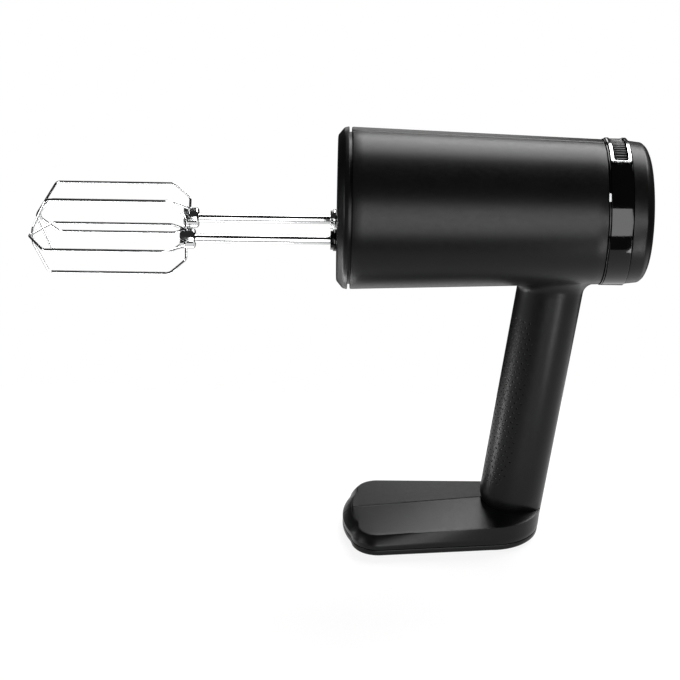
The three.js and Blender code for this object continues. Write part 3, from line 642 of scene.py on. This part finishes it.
def screw_bosses(outside):
    """Posts for the screws, cut off at the housing's outer surface, as vertex and face lists."""
    posts = [across(place, -45, 45, 4) for place in CASE_SCREWS] + [uprights(FOOT["seam_z"] + 1.2, 18, 3.6)]
    combine(outside, join_parts(posts), "INTERSECT")
    verts = [tuple(c / MM for c in v.co) for v in outside.data.vertices]
    faces = [list(p.vertices) for p in outside.data.polygons]
    bpy.data.objects.remove(outside)
    return verts, faces


def housing():
    shell = make("shell", *barrel_outer(), slots=("soft_black", "gloss_black"))
    combine(shell, handle_outer(), "UNION")
    combine(shell, foot_shape(0, FOOT["seam_z"] + GAP, 0.5), "UNION")
    outside = twin(shell)
    combine(shell, barrel_inner(), "DIFFERENCE")
    combine(shell, column(WALL + 2.4, 5, AXIS_Z - 20), "DIFFERENCE")
    combine(shell, column(WALL, 38, AXIS_Z - 10), "DIFFERENCE")
    combine(shell, foot_shape(WALL, FOOT["seam_z"] - 5), "DIFFERENCE")
    combine(shell, screw_bosses(outside), "UNION")
    pilot_end, pocket_r = 12, 3.3
    holes = [across(place, -9.5, pilot_end, PILOT_R) for place in CASE_SCREWS]
    holes += [across(place, pilot_end - 1, 60, pocket_r) for place in CASE_SCREWS]
    for hole in holes:
        combine(shell, hole, "DIFFERENCE")
    combine(shell, uprights(0, 12.5, PILOT_R), "DIFFERENCE")
    socket_low, socket_high = extent("charge_socket")
    combine(shell, box(socket_low[0] - GAP, socket_high[0] + 6, socket_low[1] - GAP, socket_high[1] + GAP,
                       socket_low[2] - GAP, socket_high[2] + GAP), "DIFFERENCE")
    combine(shell, marker_block(GAP), "DIFFERENCE")
    far = 200        # past the object on every side
    for name, side in (("left", -1), ("right", 1)):
        half = twin(shell)
        half.name = half.data.name = f"{name}_housing_skin"
        y0, y1 = sorted((side * GAP / 2, side * far))
        combine(half, box(-far, far, y0, y1, -50, 2 * far), "INTERSECT")
        tool = dimples(side)
        combine(half, tool, "DIFFERENCE", slots=("soft_black", "gloss_black"), face_slots=[1] * len(tool[1]))
        finish_piece(half, "housing", "soft_black", f"{name}_housing", sharp=30)
    bpy.data.objects.remove(shell)


def marker_block(clearance):
    """The speed marker on the barrel's rear edge, on the mixer's left shoulder, or its pocket."""
    half, inner, outer = 2.4 + clearance, 42.2 - clearance, 43.4 + clearance
    block = box(87.4 - clearance, 88.7 + clearance, -half, half, inner, outer)
    return moved(block, Matrix.Translation((0, 0, AXIS_Z)) @ Matrix.Rotation(math.radians(59), 4, "X"))


# ---------------------------------------------------------------- barrel ends
def front_cap():
    """Bevelled front with a spigot that goes into the housing, and flared bores for the beaters."""
    x0, x1 = CAP_LOW[0], CAP_HIGH[0]
    rim, back, spigot_r, hollow_r = x0 + 6.6, x0 + 4.2, 45.2, 42.5
    profile = [(x0, 0), (x0, 24), (x0, 43.2), (x0 + 3.8, 47.8), (rim, 48.4), (rim, spigot_r), (x1, spigot_r),
               (x1, hollow_r), (back, hollow_r), (back, 0)]
    profile = soften(profile, [0, 0, 1.2, 0.8, 0.5, 0.1, 0.3, 0.2, 0.3, 0], steps=5)
    cap = make("front_cap_moulding", *lathe(profile, (0, AXIS_Z), 160))
    bores = []
    for side in (-1, 1):
        bore = [(x0 - 1, 0), (x0 - 1, 6.3), (x0, 5.9), (x0 + 0.5, 5.5), (x0 + 8, 5.5), (x0 + 8, 0)]
        bores.append(lathe(bore, (side * SPINDLE_Y, SPINDLE_Z), 48))
    combine(cap, join_parts(bores), "DIFFERENCE")
    finish_piece(cap, "housing", "soft_black", "front_cap")


def wrapped(x0, x1, inner, outer, half_angle, corner, chamfer=0.0):
    """A closed block under a rounded rectangle that is wrapped round the barrel's axis.

    Its two outer edges that run round the barrel may be chamfered.
    """
    half = math.radians(half_angle)
    columns = 72
    rows = []
    for i in range(columns + 1):
        t = -half + 2 * half * i / columns
        from_end = (half - abs(t)) * outer
        trim = 0.0
        if from_end < corner:
            trim = corner - math.sqrt(max(0.0, corner ** 2 - (corner - from_end) ** 2))
        a, b = x0 + trim, x1 - trim
        s, c = math.sin(t), math.cos(t)
        section = [(a, inner), (b, inner), (b, outer - chamfer)]
        if chamfer:
            section += [(b - chamfer, outer), (a + chamfer, outer)]
        section.append((a, outer - chamfer))
        rows.append([(x, r * s, AXIS_Z + r * c) for x, r in section])
    return loft(rows)


def rear_band():
    """A channel that is open towards the axis, with the window's opening cut through its top."""
    x0, x1 = BAND_LOW[0], BAND_HIGH[0]
    outer = (BAND_HIGH[2] - BAND_LOW[2]) / 2
    lip_r, inner_r, wall = BAND["lip_r"], BAND["inner_r"], BAND["wall"]
    profile = [(x0, lip_r), (x0, outer), (x1, outer), (x1, lip_r), (x1 - wall, lip_r), (x1 - wall, inner_r),
               (x0 + wall, inner_r), (x0 + wall, lip_r)]
    profile = soften(profile, [0.2, 0.45, 0.45, 0.2, 0.1, 0.1, 0.1, 0.1], closed=True)
    band = make("rear_band_gloss", *lathe(profile, (0, AXIS_Z), 192), slots=("gloss_black",))
    angle = math.degrees(math.asin(WINDOW_HIGH[1] / outer)) + WINDOW["margin"]
    opening = wrapped(x0 - 1, x1 + 1, WINDOW["seat_r"], WINDOW["clear_r"], angle, 0)
    combine(band, opening, "DIFFERENCE", slots=("gloss_black",))
    finish_piece(band, "housing", "gloss_black", "rear_band")


def window_frame():
    outer = WINDOW_HIGH[2] - AXIS_Z
    angle = math.degrees(math.asin(WINDOW_HIGH[1] / outer))
    block = wrapped(WINDOW_LOW[0], WINDOW_HIGH[0], WINDOW["bezel_r"], outer, angle, WINDOW["corner"],
                    WINDOW["chamfer"])
    bezel = make("window_bezel", *block, slots=("chrome",))
    opening = wrapped(DIAL_LOW[0] - GAP, DIAL_HIGH[0] + GAP, WINDOW["open_r"], WINDOW["clear_r"],
                      angle - WINDOW["border"], WINDOW["open_corner"])
    combine(bezel, opening, "DIFFERENCE", slots=("chrome",))
    finish_piece(bezel, "housing", "chrome", "window_frame", sharp=25)


def speed_dial():
    """A ring whose section is (degrees from the top, radius): the ribs, then a plain stretch."""
    x0, x1, edge = DIAL_LOW[0], DIAL_HIGH[0], DIAL["edge"]
    inner, root, tip = DIAL["inner_r"], DIAL["root_r"], DIAL["tip_r"]
    pitch, first, ribs = DIAL["pitch"], DIAL["first"], DIAL["ribs"]
    section = []
    for i in range(ribs):
        section += [(first + i * pitch + offset, root + lift * (tip - root)) for offset, lift in DIAL["rib"]]
    last = first + (ribs - 1) * pitch
    plain = 360 + first - last - pitch
    section += [(last + pitch / 2 + plain * i / 60, root) for i in range(61)]
    rings = []

    def ring(x, radii):
        turns = [math.radians(a) for a, _ in section]
        return [(x, -r * math.sin(a), AXIS_Z + r * math.cos(a)) for a, r in zip(turns, radii)]

    for x, cut in ((x0, edge), (x0 + edge, 0.0), (x1 - edge, 0.0), (x1, edge)):
        rings.append(ring(x, [r - cut for _, r in section]))
    rings += [ring(x, [inner] * len(section)) for x in (x1, x0)]
    verts, faces = loft(rings)
    count = len(section)
    last_row = (len(rings) - 1) * count
    faces = faces[2:] + [[last_row + i, last_row + (i + 1) % count, (i + 1) % count, i]
                         for i in range(count)]
    dial = make("speed_dial_ribbed", verts, faces, slots=("dial_black",))
    finish_piece(dial, "dial", "dial_black", "speed_dial", sharp=40)


def rear_cap():
    """A domed shell with a sleeve for the button's bore and a journal that the dial turns on."""
    x0, x1 = REAR_LOW[0], REAR_HIGH[0]
    bore, sleeve, sleeve_end, journal, hollow = 10.7, 12.7, 103, 35.9, 33.5
    front, inside, floor_x = 102.1, 109, 111
    back = [(front, 40), (front, 42.6), (110.4, 41.6), (113, 39.4), (115, 35), (116.2, 28), (x1, 20),
            (x1, bore), (sleeve_end, bore), (sleeve_end, sleeve), (floor_x, sleeve), (floor_x, hollow),
            (x0, hollow), (x0, journal), (inside, journal), (inside, 39.2)]
    radii = [0.2, 0.5, 0.9, 1.6, 2.2, 3.5, 3.5, 0.7, 0.2, 0.2, 0.3, 0.3, 0.2, 0.2, 0.2, 0.2]
    cap = make("rear_cap_moulding", *lathe(soften(back, radii, closed=True, steps=6), (0, AXIS_Z), 160))
    finish_piece(cap, "housing", "soft_black", "rear_cap")


def trim_ring():
    x0, x1, inner, outer = TRIM_LOW[0], TRIM_HIGH[0], 40.5, (TRIM_HIGH[2] - TRIM_LOW[2]) / 2
    profile = soften([(x0, inner), (x0, outer), (x1, outer), (x1, inner)], [0, 0.25, 0.25, 0], closed=True)
    ring = make("trim_ring_polished", *lathe(profile, (0, AXIS_Z), 192), slots=("gloss_black",))
    combine(ring, marker_block(GAP), "DIFFERENCE", slots=("gloss_black",))
    finish_piece(ring, "housing", "gloss_black", "trim_ring")


def eject_spring():
    """A coil of wire along the barrel's axis, in the eject spring's place."""
    low, high = extent("eject_spring")
    wire, turns, steps = 0.45, 5, 32
    reach, length = (high[1] - low[1]) / 2 - wire, high[0] - low[0]
    path = []
    for i in range(turns * steps + 1):
        angle = FULL_TURN * i / steps
        x = low[0] + wire + (length - 2 * wire) * i / (turns * steps)
        path.append((x, reach * math.sin(angle), AXIS_Z + reach * math.cos(angle)))
    spring = make("eject_spring_coil", *sweep(path, wire, 12), slots=("steel",))
    finish_piece(spring, "housing", "steel", "eject_spring", sharp=60)
    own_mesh(spring)


def eject_button():
    x0, x1 = BUTTON_LOW[0], BUTTON_HIGH[0]
    r = (BUTTON_HIGH[1] - BUTTON_LOW[1]) / 2
    stem_r, head = 3, 106
    profile = [(x0, 0), (x0, stem_r), (head, stem_r), (head, r), (x1 - 0.2, r), (x1 - 0.5, 4), (x1 - 0.7, 0)]
    profile = soften(profile, [0, 0.3, 0.3, 0.4, 1.4, 1.5, 0], steps=5)
    button = make("eject_button_moulding", *lathe(profile, (0, AXIS_Z), 96))
    finish_piece(button, "ejector", "soft_black", "eject_button")


# ---------------------------------------------------------------- beaters
def turn_about_spindle(part, side, angle):
    """Turns a part that is built about the X axis and puts it on the left or right spindle's axis."""
    shift = Matrix.Translation((0, side * SPINDLE_Y, SPINDLE_Z))
    return moved(part, shift @ Matrix.Rotation(angle, 4, "X"))


def bent_loop(nose, radius=2.2):
    """A cage wire in the XZ plane: in at the hub, out to the cage's radius, round the nose and back."""
    b = BEATER
    side = [(b["entry"], 1.3), (b["entry"], b["shoulder_r"]), (b["rear_corner"], b["cage_r"]),
            (b["front_corner"], b["cage_r"])]
    outline = side + nose + [(x, -r) for x, r in reversed(side)]
    path = soften(outline, radius, steps=8)
    return [(x, 0.0, r) for x, r in path]


def beater(name, side, turn, collar_slot):
    b = BEATER
    body = f"beater_{name}"
    hub = [(b["hub_front"], 0), (b["hub_front"], b["hub_r"]), (b["hub_rear"] - 1, b["hub_r"]),
           (b["hub_rear"], b["hub_r"] - 1.2), (b["hub_rear"], b["shaft_r"]),
           (b["drive_start"], b["shaft_r"]), (b["drive_start"], 0)]
    hub = soften(hub, [0, 0.6, 0.4, 0.4, 0.5, 0.1, 0], steps=4)
    body_of_shaft = turn_about_spindle(lathe(hub, steps=64), side, turn)
    shaft = make(f"beater_shank_{name}", *body_of_shaft, slots=("chrome",))
    start = b["drive_start"] - 0.5
    hexagon = lathe([(start, 0), (start, b["shaft_r"]), (b["drive_end"] - 0.8, b["shaft_r"]),
                     (b["drive_end"], b["shaft_r"] - 0.8), (b["drive_end"], 0)], steps=6)
    combine(shaft, turn_about_spindle(hexagon, side, 0), "UNION", slots=("chrome",))
    slot_half = b["wire_r"] + 0.2
    for angle in (0, math.pi / 2):
        slot = box(b["hub_front"] - 1, b["entry"] + slot_half, -slot_half, slot_half, -10, 10)
        combine(shaft, turn_about_spindle(slot, side, turn + angle), "DIFFERENCE", slots=("chrome",))
    finish_piece(shaft, body, "chrome", f"beater_shaft_{name}", sharp=28)
    flat = [(b["inner_nose"], b["nose_r"]), (b["inner_nose"], -b["nose_r"])]
    for kind, nose, angle in (("outer", [(b["outer_nose"], 0)], turn + math.pi / 2), ("inner", flat, turn)):
        wire = sweep(bent_loop(nose), b["wire_r"])
        loop = make(f"beater_wire_{kind}_{name}", *turn_about_spindle(wire, side, angle), slots=("chrome",))
        finish_piece(loop, body, "chrome", f"beater_{kind}_loop_{name}", sharp=60)
    low, high = extent(f"beater_collar_{name}")
    inner, outer, step_x = b["shaft_r"] + GAP, (high[1] - low[1]) / 2, low[0] + 1.5
    ring = [(low[0], inner), (low[0], outer - 0.8), (step_x, outer - 0.8), (step_x, outer),
            (high[0], outer), (high[0], inner)]
    ring = soften(ring, [0.2, 0.4, 0.15, 0.35, 0.3, 0.2], closed=True)
    collar = make(f"beater_ring_{name}", *turn_about_spindle(lathe(ring, steps=64), side, 0),
                  slots=(collar_slot,))
    finish_piece(collar, body, collar_slot, f"beater_collar_{name}")


# ---------------------------------------------------------------- foot pieces
def bottom_plate():
    """A tray with a rounded lower edge and a boss round each base screw."""
    z0, z1 = PLATE_LOW[2], PLATE_LOW[2] + 4.2
    profile = [(2.4, z0), (1.6, z0 + 0.1), (0.7, z0 + 0.5), (0.15, z0 + 1.1), (0, z0 + 1.7), (0, z1 - 0.4),
               (0.12, z1 - 0.12), (0.5, z1)]
    plate = make("bottom_plate_moulding", *loft([foot_ring(inset, 0, level(z)) for inset, z in profile]))
    tray = loft([foot_ring(WALL, 0, level(z0 + 2.4)), foot_ring(WALL, 0, level(z1 + 1))])
    combine(plate, tray, "DIFFERENCE")
    combine(plate, uprights(z0 + 1, z1 + 0.6, 4.2), "UNION")
    combine(plate, uprights(0, 9, PILOT_R), "DIFFERENCE")
    combine(plate, uprights(0, 3.6, 3.2), "DIFFERENCE")
    finish_piece(plate, "housing", "soft_black", "bottom_plate")


def foot_pad():
    top = PAD_HIGH[2]
    profile = [(7.6, 0), (7.1, 0.1), (6.7, 0.4), (6.4, top - 0.1), (6.5, top)]
    rings = [foot_ring(inset, 0, level(z)) for inset, z in profile]
    pad = make("foot_pad_rubber", *loft(rings), slots=("pad_rubber",))
    finish_piece(pad, "housing", "pad_rubber", "foot_pad")


def screw(name, place, head_r, head_depth, shank_r, shank_end, node):
    """A pan-head screw along X with a cross recess, its head's top at X = 0, placed by a matrix."""
    profile = [(0.0, 0), (0.05, head_r * 0.6), (0.35, head_r * 0.93), (0.7, head_r), (head_depth, head_r),
               (head_depth, shank_r), (shank_end - 1, shank_r), (shank_end, 0)]
    piece = make(name, *moved(lathe(profile, steps=36), place), slots=("steel",))
    reach, half_width, recess = head_r * 0.62, 0.32, 0.9
    for angle in (0, math.pi / 2):
        blade = box(-0.5, recess, -half_width, half_width, -reach, reach)
        turned = moved(moved(blade, Matrix.Rotation(angle, 4, "X")), place)
        combine(piece, turned, "DIFFERENCE", slots=("steel",))
    finish_piece(piece, "housing", "steel", node)


def screws():
    """Case screws go in from the right side, along -Y, and base screws from below, along Z."""
    for i, (x, z) in enumerate(CASE_SCREWS):
        place = Matrix(((0, 0, 1, x), (-1, 0, 0, 12.8), (0, -1, 0, z), (0, 0, 0, 1)))
        screw(f"case_screw_head_{i + 1}", place, 3.0, 2.3, 1.3, 21.8, f"case_screw_{i + 1}")
    for i, (x, y) in enumerate(BASE_SCREWS):
        place = Matrix(((0, 0, 1, x), (0, 1, 0, y), (1, 0, 0, 1.8), (0, 0, 0, 1)))
        screw(f"base_screw_head_{i + 1}", place, 2.8, 1.4, 1.3, 10.2, f"base_screw_{i + 1}")


def speed_marker():
    piece = make("speed_marker_tick", *marker_block(0), slots=("marker_white",))
    bm = bmesh.new()
    bm.from_mesh(piece.data)
    bmesh.ops.bevel(bm, geom=bm.edges[:], offset=0.25 * MM, segments=3, affect="EDGES", profile=0.5)
    bm.to_mesh(piece.data)
    bm.free()
    finish_piece(piece, "housing", "marker_white", "speed_marker")


def dress_frame():
    """Every CAD node that still shows takes its slot's material."""
    for part in frame["record"]["subparts"]:
        for holder in frame["nodes"][part["node"]].material_slots:
            holder.material = MATERIALS[part["material_slot"]]


# ---------------------------------------------------------------- stage
def camera():
    data = bpy.data.cameras.new("camera")
    data.sensor_width = 36
    data.lens = CAMERA["lens"]
    data.shift_x = CAMERA["shift_x"]
    data.clip_end = 50
    obj = bpy.data.objects.new("camera", data)
    pitch, roll = math.radians(CAMERA["pitch"]), math.radians(CAMERA["roll"])
    along = Vector((math.cos(roll), math.sin(pitch) * math.sin(roll), math.cos(pitch) * math.sin(roll)))
    up = Vector((-math.sin(roll), math.sin(pitch) * math.cos(roll), math.cos(pitch) * math.cos(roll)))
    back = Vector((0, -math.cos(pitch), math.sin(pitch)))
    matrix = Matrix((along, up, back)).transposed().to_4x4()
    matrix.translation = Vector(CAMERA["place"])
    obj.matrix_world = matrix
    bpy.context.scene.collection.objects.link(obj)
    bpy.context.scene.camera = obj


def area_light(name, place, rotation, size, power):
    """A rectangular light that the camera doesn't see. Places and sizes are in metres, power in watts."""
    data = bpy.data.lights.new(name, "AREA")
    data.shape = "RECTANGLE"
    data.size, data.size_y = size
    data.energy = power
    obj = bpy.data.objects.new(name, data)
    obj.location = place
    obj.rotation_euler = rotation
    obj.visible_camera = False
    bpy.context.scene.collection.objects.link(obj)


def light(name, place, target, size, power):
    towards = Vector(target) - Vector(place)
    area_light(name, place, towards.to_track_quat("-Z", "Z").to_euler(), size, power)


def strip(name, start, end, width, power):
    """A narrow light that lies on the floor and shines upwards."""
    along = Vector(end) - Vector(start)
    place = (*((Vector(start) + Vector(end)) / 2), 0.006)
    area_light(name, place, (math.pi, 0, math.atan2(along.y, along.x)), (along.length, width), power)


def floor():
    """A small pale sheet that gives off light of its own, so that it hardly shows a shadow."""
    n = Nodes("floor_paper")
    n.tint(n.noise(3, 3), (0.14, 0.14, 0.14), (0.16, 0.16, 0.16))
    n.shader.inputs["Emission Color"].default_value = (1, 1, 1, 1)
    n.shader.inputs["Emission Strength"].default_value = 0.86
    n.rough(n.noise(30), 0.85, 0.95)
    n.shader.inputs["Specular IOR Level"].default_value = 0.1
    bm = bmesh.new()
    bmesh.ops.create_grid(bm, x_segments=12, y_segments=8, size=0.5)
    bmesh.ops.scale(bm, vec=(0.9, 0.48, 1), verts=bm.verts)
    bmesh.ops.translate(bm, vec=(-0.02, -0.04, 0), verts=bm.verts)
    mesh = bpy.data.meshes.new("floor")
    bm.to_mesh(mesh)
    bm.free()
    mesh.materials.append(n.material)
    sheet = bpy.data.objects.new("floor", mesh)
    bpy.context.scene.collection.objects.link(sheet)


def background():
    """White for the camera and nearly dark for everything else, so that the mixer's black stays deep."""
    world = bpy.data.worlds.new("studio")
    world.use_nodes = True
    bpy.context.scene.world = world
    tree = world.node_tree
    shader = next(node for node in tree.nodes if node.type == "BACKGROUND")
    path = tree.nodes.new("ShaderNodeLightPath")
    strength = tree.nodes.new("ShaderNodeMapRange")
    strength.inputs["To Min"].default_value = 0.03
    strength.inputs["To Max"].default_value = 1.0
    tree.links.new(path.outputs["Is Camera Ray"], strength.inputs["Value"])
    tree.links.new(strength.outputs["Result"], shader.inputs["Strength"])
    shader.inputs["Color"].default_value = (1, 1, 1, 1)


def stage():
    """Most lights keep to the right of the beaters, whose bright wires would mirror them."""
    floor()
    background()
    aim = (0.0, 0.0, 0.15)
    light("overhead_back", (0.78, 0.85, 1.35), (0.78, 0.0, 0.2), (1.8, 1.1), 62)
    light("low_back", (-0.1, 1.6, 0.45), aim, (0.7, 0.5), 1.4)
    light("front_right", (1.0, -1.5, 0.3), aim, (0.8, 0.4), 12)
    light("left_strip", (-1.4, -0.5, 0.35), aim, (0.3, 0.9), 9)
    light("front_low", (0.25, -2.0, 0.38), (0.25, 0, 0.38), (0.9, 1.56), 36)
    strip("strip_right", (0.19, -0.22), (0.34, -0.5), 0.07, 0.95)
    strip("strip_left", (-0.085, 0.0), (-0.36, 0.045), 0.03, 0.5)
    bpy.context.scene.view_settings.view_transform = "Standard"


camera()
housing()
front_cap()
rear_band()
window_frame()
speed_dial()
rear_cap()
trim_ring()
speed_marker()
eject_button()
eject_spring()
beater("left", -1, 0, "gloss_black")
beater("right", 1, math.pi / 4, "chrome")
bottom_plate()
foot_pad()
screws()
dress_frame()
stage()
